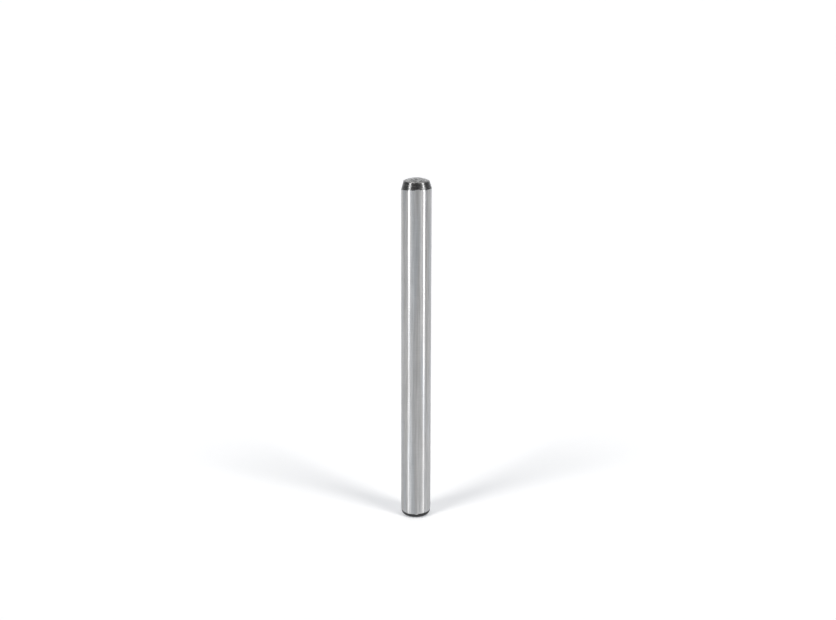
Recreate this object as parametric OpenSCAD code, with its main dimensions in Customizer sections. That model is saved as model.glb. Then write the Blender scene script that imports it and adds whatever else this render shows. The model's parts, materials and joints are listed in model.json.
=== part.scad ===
// Hardened and ground parallel dowel pin, made in one piece and symmetrical about Z.
// It stands on its foot, with the centre of the foot's flat face at the origin.
// The leading end, on top, has a slender chamfer and a crown, so it finds its way into a reamed hole.

/* [Shank] */
// Nominal diameter of the pin
nominal_d = 6; // [3:0.5:8]
// How far the ground diameter stands over nominal, for a press fit
press_allowance = 0.008; // [0:0.001:0.02]
// Overall length, from the foot to the tip of the crown
overall_length = 70; // [20:1:160]

/* [Leading end] */
// Length of the chamfer along the axis
chamfer_length = 1.7; // [0.5:0.05:3]
// Angle between the chamfer and the axis
chamfer_angle = 15; // [5:1:20]
// Radius of the crown that closes the end
crown_r = 6; // [4.5:0.1:30]

/* [Foot] */
// Radius of the corner between the shank and the foot's flat face
foot_corner_r = 1.1; // [0.2:0.05:1.4]

/* [Hidden] */
$fn = 128;

shank_r = (nominal_d + press_allowance) / 2;
foot_face_r = shank_r - foot_corner_r;
tip_r = shank_r - chamfer_length * tan(chamfer_angle);
crown_height = crown_r - sqrt(crown_r ^ 2 - tip_r ^ 2);
shank_top_z = overall_length - crown_height - chamfer_length;

// Half section of the foot: a flat face with a quarter-round corner
module foot_section() {
    square([foot_face_r, foot_corner_r]);
    translate([foot_face_r, foot_corner_r])
        intersection() {
            circle(foot_corner_r);
            translate([0, -foot_corner_r])
                square(foot_corner_r);
        }
}

// Half section of the ground shank, from the foot's corner up to the chamfer
module shank_section() {
    translate([0, foot_corner_r])
        square([shank_r, shank_top_z - foot_corner_r]);
}

// Half section of the leading end: the chamfer's cone, cut short by the crown
module leading_end_section() {
    cone_height = shank_r / tan(chamfer_angle);
    intersection() {
        translate([0, shank_top_z])
            polygon([[0, 0], [shank_r, 0], [0, cone_height]]);
        translate([0, overall_length - crown_r])
            circle(crown_r);
    }
}

module dowel_pin() {
    color("silver")
        rotate_extrude() {
            foot_section();
            shank_section();
            leading_end_section();
        }
}

dowel_pin();
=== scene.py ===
# A hardened and ground dowel pin, standing on its foot on a pale studio floor
import bpy
import json
import math
import numpy as np
from mathutils import Matrix, Vector


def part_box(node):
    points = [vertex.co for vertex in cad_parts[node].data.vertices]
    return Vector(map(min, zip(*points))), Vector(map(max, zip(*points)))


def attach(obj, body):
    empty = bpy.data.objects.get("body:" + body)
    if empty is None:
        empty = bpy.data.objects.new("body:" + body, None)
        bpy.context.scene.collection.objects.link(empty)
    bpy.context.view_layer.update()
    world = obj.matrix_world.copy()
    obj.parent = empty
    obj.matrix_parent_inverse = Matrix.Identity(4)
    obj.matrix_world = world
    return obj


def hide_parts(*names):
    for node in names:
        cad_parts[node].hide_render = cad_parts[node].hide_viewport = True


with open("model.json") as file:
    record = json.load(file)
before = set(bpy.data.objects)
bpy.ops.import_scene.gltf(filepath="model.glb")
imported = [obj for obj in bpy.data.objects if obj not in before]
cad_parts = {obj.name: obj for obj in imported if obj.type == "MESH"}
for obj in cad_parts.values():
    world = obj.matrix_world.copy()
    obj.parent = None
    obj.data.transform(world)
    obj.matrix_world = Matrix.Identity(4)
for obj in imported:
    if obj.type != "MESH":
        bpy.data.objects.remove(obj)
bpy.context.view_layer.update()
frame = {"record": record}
mm = 0.001

# Sizes that the pin shares with its CAD, in millimetres. It stands on z = 0, and its axis is Z.
boxLow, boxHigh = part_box("dowel_pin")
pinFoot, pinTop = boxLow.z / mm, boxHigh.z / mm
mounts = {mount["name"]: mount for mount in frame["record"]["mounts"]}
shankMount = mounts["shank"]
shankRadius = shankMount["dims"]["r_mm"]
shankMiddle = shankMount["pos_m"][2] / mm
shankHalf = shankMount["dims"]["length_mm"] / 2
shankBottom = shankMiddle - shankHalf
shankTop = shankMiddle + shankHalf
print("frame read: pin", round(pinTop, 2), "mm long,", round(2 * shankRadius, 3), "mm across")


# The pin. Lengths are in millimetres and angles in degrees. An azimuth is 0 at the front and
# grows towards the right.
pin = {
    "around": 512,               # points round the pin
    # rows of points in each zone, from the foot's middle to the crown's
    "rows": {"footFace": 14, "footCorner": 26, "aboveFoot": 12, "shank": 30,
             "chamfer": 62, "rim": 5, "crown": 47},
    "cornerCrowding": 1.7,       # over 1, the foot corner's rows crowd towards the foot's face
    "crownRadius": 6,
    "chamferAngle": 15,
    "rimBreak": 0.07,            # the broken edge between chamfer and crown
    "rollOff": (0.05, 0.95, 0.38),   # the shank's slight fall-off above the foot: depth, height, half width
    # the ground surface's upper edge: its height past the chamfer's corner, its waves and its bumps
    "grindTop": 0.095,
    "grindTopWaves": [(1, 0.22, 30), (3, 0.025, 200), (5, 0.02, 80), (9, 0.012, 10)],
    "grindTopBumps": [(4, 7.5, 0.17), (150, 9, 0.1), (232, 12, -0.09)],
    # the ground surface's lower edge: its height over the floor, its waves and its bumps
    "grindFoot": 1.08,
    "grindFootWaves": [(1, 0.05, 165), (2, 0.05, 75), (5, 0.018, 300), (11, 0.012, 40)],
    "grindFootBumps": [(3.5, 4.5, -0.22), (-28, 9, -0.07), (118, 8, 0.06), (205, 6, -0.1)],
    # turned grooves on the chamfer and rings under the foot, faded out over these shares of each zone
    "toolPitch": 0.42,
    "toolDepth": 0.009,
    "toolFade": (1 / 9, 1 / 12),
    "facingPitch": 0.22,
    "facingDepth": 0.006,
    "facingFade": 1 / 6,
    # the crown's rough scale: a coarse grain and a finer one on it
    "grainHeight": 0.008,
    "grainSizes": (0.3, 0.12),
    "grainStrengths": (1, 0.6),
    "grainSeeds": (4, 5),
    "grainWaves": 60,            # plane waves added up in each grain
    "grainLimit": 2,             # the furthest the grain strays from its middle
    "grainFade": (1 / 10, 1 / 12),
}
fadedOut = 4                     # half widths from its middle at which a bell shape has died away

# the foot's round corner and flat face, and the height at which the fall-off has died away
cornerRadius = shankBottom
faceRadius = shankRadius - cornerRadius
rollDepth, rollHeight, rollHalfWidth = pin["rollOff"]
rollEnd = rollHeight + fadedOut * rollHalfWidth

# the chamfer's cone and the crown's sphere meet at the tilt for which
# crownRadius * sin(tilt + chamferAngle) is the distance from the sphere's centre to the cone
chamferAngle = math.radians(pin["chamferAngle"])
chamferSlope = math.tan(chamferAngle)
crownRadius = pin["crownRadius"]
crownCentre = pinTop - crownRadius
toCone = (shankRadius - (crownCentre - shankTop) * chamferSlope) * math.cos(chamferAngle)
meetingTilt = math.asin(toCone / crownRadius) - chamferAngle
meetingRadius = crownRadius * math.sin(meetingTilt)
meetingHeight = crownCentre + crownRadius * math.cos(meetingTilt)

# the rim's two ends: rimBreak lower than that meeting, on the cone, and rimBreak past it, along the sphere
rimLowHeight = meetingHeight - pin["rimBreak"]
rimLowRadius = meetingRadius + pin["rimBreak"] * chamferSlope
rimTilt = meetingTilt - pin["rimBreak"] / crownRadius
rimHighHeight = crownCentre + crownRadius * math.cos(rimTilt)
rimHighRadius = crownRadius * math.sin(rimTilt)

angles = np.linspace(0, 2 * math.pi, pin["around"], endpoint=False)[None, :]
ones = np.ones_like(angles)


def even(count):
    # count values in equal steps up to 1, one a row
    return np.linspace(0, 1, count + 1)[1:, None]


def held(count):
    # the same, closer together at both ends: (1 - cos(pi t)) / 2
    return 0.5 - 0.5 * np.cos(math.pi * even(count))


def fadeIn(t, share):
    # 0 at t = 0, rising in a straight line to 1 at t = share
    return np.clip(t / share, 0, 1)


def waveRound(level, waves, bumps):
    # a height round the pin: level, plus cosines, each (cycles, height, azimuth of its top), plus
    # bell shapes, each (azimuth, half width, height)
    height = level * ones
    for cycles, size, top in waves:
        height = height + size * np.cos(cycles * (angles - math.radians(top)))
    for place, halfWidth, size in bumps:
        away = np.degrees(np.angle(np.exp(1j * (angles - math.radians(place)))))
        height = height + size * np.exp(-0.5 * (away / halfWidth) ** 2)
    return height


def roughField(x, y, z, size, count, seed):
    # smooth random relief around 0, nearly all of it between -1.5 and 1.5: the sum of plane waves in
    # random directions, over the square root of their count, with wavelengths from size / 2 to size * 2
    rng = np.random.default_rng(seed)
    direction = rng.normal(size=(count, 3))
    direction = direction / np.linalg.norm(direction, axis=1, keepdims=True)
    wavelength = size * 2 ** rng.uniform(-1, 1, count)
    phase = rng.uniform(0, 2 * math.pi, count)
    total = np.zeros_like(x)
    for along, length, start in zip(direction, wavelength, phase):
        total = total + np.cos(2 * math.pi / length * (along[0] * x + along[1] * y + along[2] * z) + start)
    return total / math.sqrt(count)


def onShank(z):
    # the radius at height z: a quarter circle up to shankBottom and the cylinder over it, with a
    # bell-shaped fall-off taken from both
    corner = np.sqrt(cornerRadius ** 2 - np.clip(cornerRadius - z, 0, None) ** 2)
    return faceRadius + corner - rollDepth * np.exp(-0.5 * ((z - rollHeight) / rollHalfWidth) ** 2)


# The ground cylinder cuts the foot's corner and the chamfer along these two wavy edges
footEdge = waveRound(pin["grindFoot"], pin["grindFootWaves"], pin["grindFootBumps"])
topEdge = waveRound(shankTop + pin["grindTop"], pin["grindTopWaves"], pin["grindTopBumps"])


# The pin's profile in zones, from the foot's middle to the crown's. Each function gives the zone's
# finish, and its radius r and height z as arrays: a row for each step t, a column for each angle.
def footFace():
    # flat, r = t times the face's radius, raised by rings (1 - cos(2 pi r / facingPitch)) / 2
    t = even(pin["rows"]["footFace"])
    r = t * onShank(0) * ones
    rings = 0.5 - 0.5 * np.cos(2 * math.pi * r / pin["facingPitch"])
    return crownScale, r, pin["facingDepth"] * rings * fadeIn(1 - t, pin["facingFade"])


def footCorner():
    # the round corner up to the ground edge, z = footEdge * t ^ cornerCrowding
    z = footEdge * even(pin["rows"]["footCorner"]) ** pin["cornerCrowding"]
    return footScale, onShank(z), z


def aboveFoot():
    # the ground surface from its wavy lower edge to the end of the fall-off
    z = footEdge + (rollEnd - footEdge) * even(pin["rows"]["aboveFoot"])
    return groundSteel, onShank(z), z


def groundShank():
    # the rest of the ground surface, up to its wavy upper edge
    z = rollEnd + (topEdge - rollEnd) * held(pin["rows"]["shank"])
    return groundSteel, onShank(z), z


def chamfer():
    # a straight line from the wavy edge to the rim, cut by grooves of section 1 - (2 s - 1) ^ 2,
    # where s runs 0 to 1 across each groove
    t = held(pin["rows"]["chamfer"])
    z = topEdge + (rimLowHeight - topEdge) * t
    r = shankRadius + (rimLowRadius - shankRadius) * t
    across = ((meetingHeight - z) / pin["toolPitch"]) % 1
    groove = 1 - (2 * across - 1) ** 2
    fadeStart, fadeEnd = pin["toolFade"]
    return darkOxide, r - pin["toolDepth"] * groove * fadeIn(t, fadeStart) * fadeIn(1 - t, fadeEnd), z


def rim():
    # a quadratic curve between the rim's two ends, pulled towards the meeting of cone and sphere
    t = even(pin["rows"]["rim"])
    low, middle, high = (1 - t) ** 2, 2 * t * (1 - t), t ** 2
    r = low * rimLowRadius + middle * meetingRadius + high * rimHighRadius
    z = low * rimLowHeight + middle * meetingHeight + high * rimHighHeight
    return brightRim, r * ones, z * ones


def crown():
    # the sphere, from the rim's tilt towards 0 at the tip, sunk along its radius by the grain
    t = even(pin["rows"]["crown"])[:-1]          # the tip is a point of its own
    tilt = rimTilt * (1 - t) * ones
    r, z = crownRadius * np.sin(tilt), crownCentre + crownRadius * np.cos(tilt)
    x, y = r * np.sin(angles), -r * np.cos(angles)
    grain = np.zeros_like(x)
    for size, strength, seed in zip(pin["grainSizes"], pin["grainStrengths"], pin["grainSeeds"]):
        grain = grain + strength * roughField(x, y, z, size, pin["grainWaves"], seed)
    limit = pin["grainLimit"]
    fadeStart, fadeEnd = pin["grainFade"]
    sunk = pin["grainHeight"] * (1 + np.clip(grain, -limit, limit) / limit)
    sunk = sunk * fadeIn(t, fadeStart) * fadeIn(1 - t, fadeEnd)
    return crownScale, r - sunk * np.sin(tilt), z - sunk * np.cos(tilt)


def closedMesh(name, points, finish):
    # rows of points joined into quads, and a fan to one point at each end. Row i's faces, between
    # rows i - 1 and i, take row i's finish, and the two fans take the first row's and the last's.
    rows, around = points.shape[:2]
    index = np.arange(rows * around).reshape(rows, around)
    right = np.roll(index, -1, axis=1)
    quads = np.stack([index[:-1], right[:-1], right[1:], index[1:]], axis=-1).reshape(-1, 4)
    bottom, top = rows * around, rows * around + 1
    bottomFan = np.stack([right[0], index[0], np.full(around, bottom)], axis=-1)
    topFan = np.stack([index[-1], right[-1], np.full(around, top)], axis=-1)
    ends = np.array([[0, 0, pinFoot], [0, 0, pinTop]]) * mm
    corners = np.concatenate([points.reshape(-1, 3), ends])
    mesh = bpy.data.meshes.new(name)
    mesh.from_pydata(corners.tolist(), [], quads.tolist() + bottomFan.tolist() + topFan.tolist())
    fanFinish = [np.full(around, finish[0]), np.full(around, finish[-1])]
    faceFinish = np.concatenate([np.repeat(finish[1:], around), *fanFinish])
    mesh.polygons.foreach_set("material_index", faceFinish.astype(np.int32))
    mesh.polygons.foreach_set("use_smooth", np.ones(len(mesh.polygons), dtype=bool))
    mesh.update()
    mesh.validate()
    return mesh


# Nodes for the finishes
def newFinish(name):
    material = bpy.data.materials.new(name)
    material.use_nodes = True
    tree = material.node_tree
    tree.nodes.clear()
    output = tree.nodes.new("ShaderNodeOutputMaterial")
    shader = tree.nodes.new("ShaderNodeBsdfPrincipled")
    tree.links.new(shader.outputs["BSDF"], output.inputs["Surface"])
    return material, tree, shader


def noiseOn(tree, size, stretch=(1, 1, 1), detail=3, roughness=0.55):
    # noise on Object coordinates, in features of that size in millimetres, drawn out by stretch
    # along x, y and z
    place = tree.nodes.new("ShaderNodeTexCoord")
    mapping = tree.nodes.new("ShaderNodeMapping")
    mapping.inputs["Scale"].default_value = [1 / s for s in stretch]
    noise = tree.nodes.new("ShaderNodeTexNoise")
    noise.inputs["Scale"].default_value = 1 / (size * mm)
    noise.inputs["Detail"].default_value = detail
    noise.inputs["Roughness"].default_value = roughness
    tree.links.new(place.outputs["Object"], mapping.inputs["Vector"])
    tree.links.new(mapping.outputs["Vector"], noise.inputs["Vector"])
    return noise.outputs["Fac"]


def ramp(tree, value, stops):
    # a colour for value, from stops of (position, colour)
    node = tree.nodes.new("ShaderNodeValToRGB")
    first, last = node.color_ramp.elements
    first.position, first.color = stops[0][0], (*stops[0][1], 1)
    last.position, last.color = stops[-1][0], (*stops[-1][1], 1)
    for position, colour in stops[1:-1]:
        node.color_ramp.elements.new(position).color = (*colour, 1)
    tree.links.new(value, node.inputs["Fac"])
    return node.outputs["Color"]


mild = (0.3, 0.7)                # the noise values that reach the two ends of a spread
strong = (0.38, 0.62)            # nearer together, so more of the noise reaches an end


def spread(tree, value, ends, reach=mild):
    # value moved in a straight line from the two values of reach to the two of ends
    node = tree.nodes.new("ShaderNodeMapRange")
    node.inputs["From Min"].default_value, node.inputs["From Max"].default_value = reach
    node.inputs["To Min"].default_value, node.inputs["To Max"].default_value = ends
    tree.links.new(value, node.inputs["Value"])
    return node.outputs["Result"]


def shade(tree, colour, amount):
    # colour times a grey amount
    node = tree.nodes.new("ShaderNodeMix")
    node.data_type, node.blend_type = "RGBA", "MULTIPLY"
    node.inputs["Factor"].default_value = 1
    tree.links.new(colour, node.inputs["A"])
    tree.links.new(amount, node.inputs["B"])
    return node.outputs["Result"]


def relief(tree, shader, value, height, below=None):
    # bump of that height in millimetres, over the bump below if there is one
    node = tree.nodes.new("ShaderNodeBump")
    node.inputs["Distance"].default_value = height * mm
    tree.links.new(value, node.inputs["Height"])
    if below is not None:
        tree.links.new(below, node.inputs["Normal"])
    tree.links.new(node.outputs["Normal"], shader.inputs["Normal"])
    return node.outputs["Normal"]


# The finishes. Noise sizes and heights are in millimetres.
groundLook = {
    "patches": {"size": 1.3, "stretch": (1, 1, 18), "detail": 2},
    "tints": [(0.41, (0.476, 0.49, 0.505)), (0.52, (0.49, 0.49, 0.49)),
              (0.6, (0.49, 0.49, 0.49)), (0.7, (0.495, 0.492, 0.481))],     # cool, plain and warm: the cool is a painted bluish reflection of the surroundings, laid into the colour in random patches; plain and warm are tone that varies at random
    "streaks": {"size": 0.4, "stretch": (1, 1, 120)},      # long and lengthwise
    "streakShade": (0.88, 1.09),
    "streakHeight": 0.0004,
    "dashes": {"size": 0.33, "stretch": (1, 1, 22), "detail": 2},      # shorter streaks
    "dashShade": (0.91, 1.07),
    # grinding marks that run round the pin
    "marks": {"size": 0.09, "stretch": (25, 25, 1), "detail": 4, "roughness": 0.65},
    "markShade": (0.93, 1.04),
    "markHeight": 0.0004,
    "roughness": (0.295, 0.34),
    "stretchAlong": 0.94,        # how far the marks draw highlights out along the pin
}


def groundSteel():
    material, tree, shader = newFinish("groundSteel")
    patches = noiseOn(tree, **groundLook["patches"])
    streaks = noiseOn(tree, **groundLook["streaks"])
    dashes = noiseOn(tree, **groundLook["dashes"])
    marks = noiseOn(tree, **groundLook["marks"])
    # painted reflection: the cool stops tint the steel's colour bluish in random patches, standing in for
    # the surroundings' reflected cast
    tint = ramp(tree, patches, groundLook["tints"])
    tint = shade(tree, tint, spread(tree, streaks, groundLook["streakShade"], strong))
    tint = shade(tree, tint, spread(tree, dashes, groundLook["dashShade"], strong))
    tint = shade(tree, tint, spread(tree, marks, groundLook["markShade"]))
    tree.links.new(tint, shader.inputs["Base Color"])
    shader.inputs["Metallic"].default_value = 1
    tree.links.new(spread(tree, marks, groundLook["roughness"]), shader.inputs["Roughness"])
    shader.inputs["Anisotropic"].default_value = groundLook["stretchAlong"]
    # a quarter turn, from round the pin to along it
    shader.inputs["Anisotropic Rotation"].default_value = 0.25
    tangent = tree.nodes.new("ShaderNodeTangent")
    tangent.direction_type, tangent.axis = "RADIAL", "Z"
    tree.links.new(tangent.outputs["Tangent"], shader.inputs["Tangent"])
    waviness = relief(tree, shader, streaks, groundLook["streakHeight"])
    relief(tree, shader, marks, groundLook["markHeight"], waviness)
    return material


oxideLook = {
    "clouds": {"size": 0.5, "detail": 4},
    "tints": [(0.3, (0.002, 0.002, 0.0025)), (0.55, (0.005, 0.005, 0.005)), (0.75, (0.02, 0.018, 0.016))],
    "cloudHeight": 0.004,
    "turned": {"size": 0.22, "stretch": (14, 14, 1), "detail": 2},     # bands left by the turning tool
    "turnedShade": (0.45, 1.9),
    "rings": {"size": 0.06, "stretch": (12, 12, 1), "roughness": 0.6},     # fine rings within them
    "ringShade": (0.7, 1.3),
    "ringHeight": 0.0015,
    "roughness": (0.19, 0.29),
    "gloss": 2.5,                # the oxide's refractive index
}


def darkOxide():
    material, tree, shader = newFinish("darkOxide")
    clouds = noiseOn(tree, **oxideLook["clouds"])
    turned = noiseOn(tree, **oxideLook["turned"])
    rings = noiseOn(tree, **oxideLook["rings"])
    tint = ramp(tree, clouds, oxideLook["tints"])
    tint = shade(tree, tint, spread(tree, turned, oxideLook["turnedShade"]))
    tint = shade(tree, tint, spread(tree, rings, oxideLook["ringShade"]))
    tree.links.new(tint, shader.inputs["Base Color"])
    shader.inputs["Metallic"].default_value = 0
    shader.inputs["IOR"].default_value = oxideLook["gloss"]
    tree.links.new(spread(tree, turned, oxideLook["roughness"]), shader.inputs["Roughness"])
    grain = relief(tree, shader, clouds, oxideLook["cloudHeight"])
    relief(tree, shader, rings, oxideLook["ringHeight"], grain)
    return material


crownLook = {
    "patches": {"size": 0.5},
    "tints": [(0.36, (0.29, 0.287, 0.28)), (0.5, (0.55, 0.546, 0.537)), (0.64, (0.78, 0.774, 0.76))],
    "speckle": {"size": 0.25, "detail": 4, "roughness": 0.6},
    "speckleShade": (0.55, 1.35),
    "speckleHeight": 0.015,
    "roughness": (0.34, 0.5),
}


def crownScale():
    material, tree, shader = newFinish("crownScale")
    patches = noiseOn(tree, **crownLook["patches"])
    speckle = noiseOn(tree, **crownLook["speckle"])
    tint = ramp(tree, patches, crownLook["tints"])
    tint = shade(tree, tint, spread(tree, speckle, crownLook["speckleShade"], strong))
    tree.links.new(tint, shader.inputs["Base Color"])
    shader.inputs["Metallic"].default_value = 1
    tree.links.new(spread(tree, speckle, crownLook["roughness"]), shader.inputs["Roughness"])
    relief(tree, shader, speckle, crownLook["speckleHeight"])
    return material


footLook = {
    "clouds": {"size": 0.4, "detail": 4},
    "tints": [(0.3, (0.007, 0.007, 0.008)), (0.7, (0.022, 0.022, 0.023))],
    "cloudHeight": 0.006,
    "rings": {"size": 0.06, "stretch": (12, 12, 1), "roughness": 0.6},
    "ringShade": (0.75, 1.25),
    "roughness": (0.4, 0.55),
    "gloss": 1.4,                # refractive index
}


def footScale():
    material, tree, shader = newFinish("footScale")
    clouds = noiseOn(tree, **footLook["clouds"])
    rings = noiseOn(tree, **footLook["rings"])
    tint = ramp(tree, clouds, footLook["tints"])
    tint = shade(tree, tint, spread(tree, rings, footLook["ringShade"]))
    tree.links.new(tint, shader.inputs["Base Color"])
    shader.inputs["Metallic"].default_value = 0
    shader.inputs["IOR"].default_value = footLook["gloss"]
    tree.links.new(spread(tree, clouds, footLook["roughness"]), shader.inputs["Roughness"])
    relief(tree, shader, clouds, footLook["cloudHeight"])
    return material


rimLook = {
    "wear": {"size": 0.25},
    "tints": [(0.35, (0.231, 0.231, 0.2275)), (0.6, (0.33, 0.33, 0.325))],     # dull, then worn bright
    "roughness": (0.24, 0.36),
}


def brightRim():
    material, tree, shader = newFinish("brightRim")
    wear = noiseOn(tree, **rimLook["wear"])
    tree.links.new(ramp(tree, wear, rimLook["tints"]), shader.inputs["Base Color"])
    shader.inputs["Metallic"].default_value = 1
    tree.links.new(spread(tree, wear, rimLook["roughness"]), shader.inputs["Roughness"])
    return material


def makePin():
    finishes = [groundSteel, darkOxide, crownScale, footScale, brightRim]
    zones = [footFace(), footCorner(), aboveFoot(), groundShank(), chamfer(), rim(), crown()]
    rowFinish = np.concatenate([np.full(len(z), finishes.index(finish)) for finish, r, z in zones])
    r = np.concatenate([r for finish, r, z in zones])
    z = np.concatenate([z for finish, r, z in zones])
    points = np.stack([r * np.sin(angles), -r * np.cos(angles), z], axis=-1) * mm
    mesh = closedMesh("dowelPin", points, rowFinish)
    for makeFinish in finishes:
        mesh.materials.append(makeFinish())
    dowelPin = bpy.data.objects.new("dowelPin", mesh)
    bpy.context.scene.collection.objects.link(dowelPin)
    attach(dowelPin, "root")
    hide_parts("dowel_pin")
    print("pin made:", len(mesh.polygons), "faces")


# The studio. Lengths are in millimetres. Azimuths are 0 towards the camera and grow to the right.
studio = {
    "floorSize": 6000,
    "floorTints": [(0.3, (0.8316, 0.8316, 0.8316)), (0.7, (0.84, 0.84, 0.84))],
    "floorMottle": {"size": 60, "detail": 2},
    "floorRoughness": 0.9,
    "floorShine": 0.1,
    "floorGlow": (0.3, 0.31, 0.328),               # light that comes up through the floor
    "keys": [(50, 51, 1.28), (-47, 50, 1.28)],     # azimuth, elevation, strength
    "keySoftness": 16,
    "keyColour": (1.0, 0.98, 0.955),
    "strips": [(61, 84), (-56.5, 84)],             # azimuth, width
    "stripDistance": 450,
    "stripHeight": 330,
    "stripRadiance": 8,
    # the room's colour, from in front of the pin to behind it
    "room": [(-0.6, (0.1, 0.102, 0.104)), (-0.2, (0.12, 0.123, 0.126)), (0.1, (0.16, 0.164, 0.168)),
             (0.45, (0.30, 0.306, 0.314)), (1, (0.84, 0.855, 0.88))],
}


def fromPin(azimuth, elevation, distance):
    a, e = math.radians(azimuth), math.radians(elevation)
    return Vector((math.sin(a) * math.cos(e), -math.cos(a) * math.cos(e), math.sin(e))) * distance


def addLight(name, kind, place, target):
    data = bpy.data.lights.new(name, kind)
    light = bpy.data.objects.new(name, data)
    light.location = place
    light.rotation_euler = (target - place).to_track_quat("-Z", "Y").to_euler()
    bpy.context.scene.collection.objects.link(light)
    return light


def makeFloor():
    half = studio["floorSize"] * mm / 2
    mesh = bpy.data.meshes.new("studioFloor")
    corners = [(-half, -half, 0), (half, -half, 0), (half, half, 0), (-half, half, 0)]
    mesh.from_pydata(corners, [], [(0, 1, 2, 3)])
    paper, tree, shader = newFinish("floorPaper")
    mottle = noiseOn(tree, **studio["floorMottle"])
    tree.links.new(ramp(tree, mottle, studio["floorTints"]), shader.inputs["Base Color"])
    shader.inputs["Roughness"].default_value = studio["floorRoughness"]
    shader.inputs["Specular IOR Level"].default_value = studio["floorShine"]
    shader.inputs["Emission Color"].default_value = (*studio["floorGlow"], 1)
    shader.inputs["Emission Strength"].default_value = 1
    mesh.materials.append(paper)
    floor = bpy.data.objects.new("studioFloor", mesh)
    bpy.context.scene.collection.objects.link(floor)


def makeLights():
    for number, (azimuth, elevation, strength) in enumerate(studio["keys"]):
        key = addLight(f"key{number}", "SUN", fromPin(azimuth, elevation, 1), Vector((0, 0, 0)))
        key.data.angle = math.radians(studio["keySoftness"])
        key.data.energy = strength
        key.data.color = studio["keyColour"]
    height = studio["stripHeight"] * mm
    middle = Vector((0, 0, height / 2))
    for number, (azimuth, width) in enumerate(studio["strips"]):
        place = fromPin(azimuth, 0, studio["stripDistance"] * mm) + middle
        strip = addLight(f"strip{number}", "AREA", place, middle)
        strip.data.shape = "RECTANGLE"
        strip.data.size, strip.data.size_y = width * mm, height
        strip.data.energy = studio["stripRadiance"] * math.pi * width * mm * height
        strip.visible_diffuse = False              # the strips only show in the steel
        strip.visible_camera = False


def makeRoom():
    world = bpy.data.worlds.new("studioRoom")
    world.use_nodes = True
    tree = world.node_tree
    background = tree.nodes["Background"]
    place = tree.nodes.new("ShaderNodeTexCoord")
    split = tree.nodes.new("ShaderNodeSeparateXYZ")
    tree.links.new(place.outputs["Generated"], split.inputs["Vector"])
    front, back = studio["room"][0][0], studio["room"][-1][0]
    toBack = spread(tree, split.outputs["Y"], (0, 1), (front, back))
    stops = [((along - front) / (back - front), colour) for along, colour in studio["room"]]
    tree.links.new(ramp(tree, toBack, stops), background.inputs["Color"])
    bpy.context.scene.world = world


cameraLook = {
    "place": (0.362, -291.25, 121.6),
    "pitch": 15.035,             # degrees below level
    "roll": 0.154,
    "lens": 65.28,
    "sensor": 36,
    "clip": (0.01, 20),          # nearest and furthest that it sees, in metres
}


def makeCamera():
    data = bpy.data.cameras.new("camera")
    data.lens, data.sensor_width = cameraLook["lens"], cameraLook["sensor"]
    data.clip_start, data.clip_end = cameraLook["clip"]
    camera = bpy.data.objects.new("camera", data)
    tilt = Matrix.Rotation(math.radians(90 - cameraLook["pitch"]), 4, "X")
    roll = Matrix.Rotation(math.radians(cameraLook["roll"]), 4, "Z")
    camera.matrix_world = Matrix.Translation(Vector(cameraLook["place"]) * mm) @ tilt @ roll
    bpy.context.scene.collection.objects.link(camera)
    bpy.context.scene.camera = camera
    bpy.context.scene.view_settings.view_transform = "Standard"


makePin()
makeFloor()
makeLights()
makeRoom()
print("studio made:", len(studio["keys"]), "keys and", len(studio["strips"]), "strips")
makeCamera()
print("camera placed")
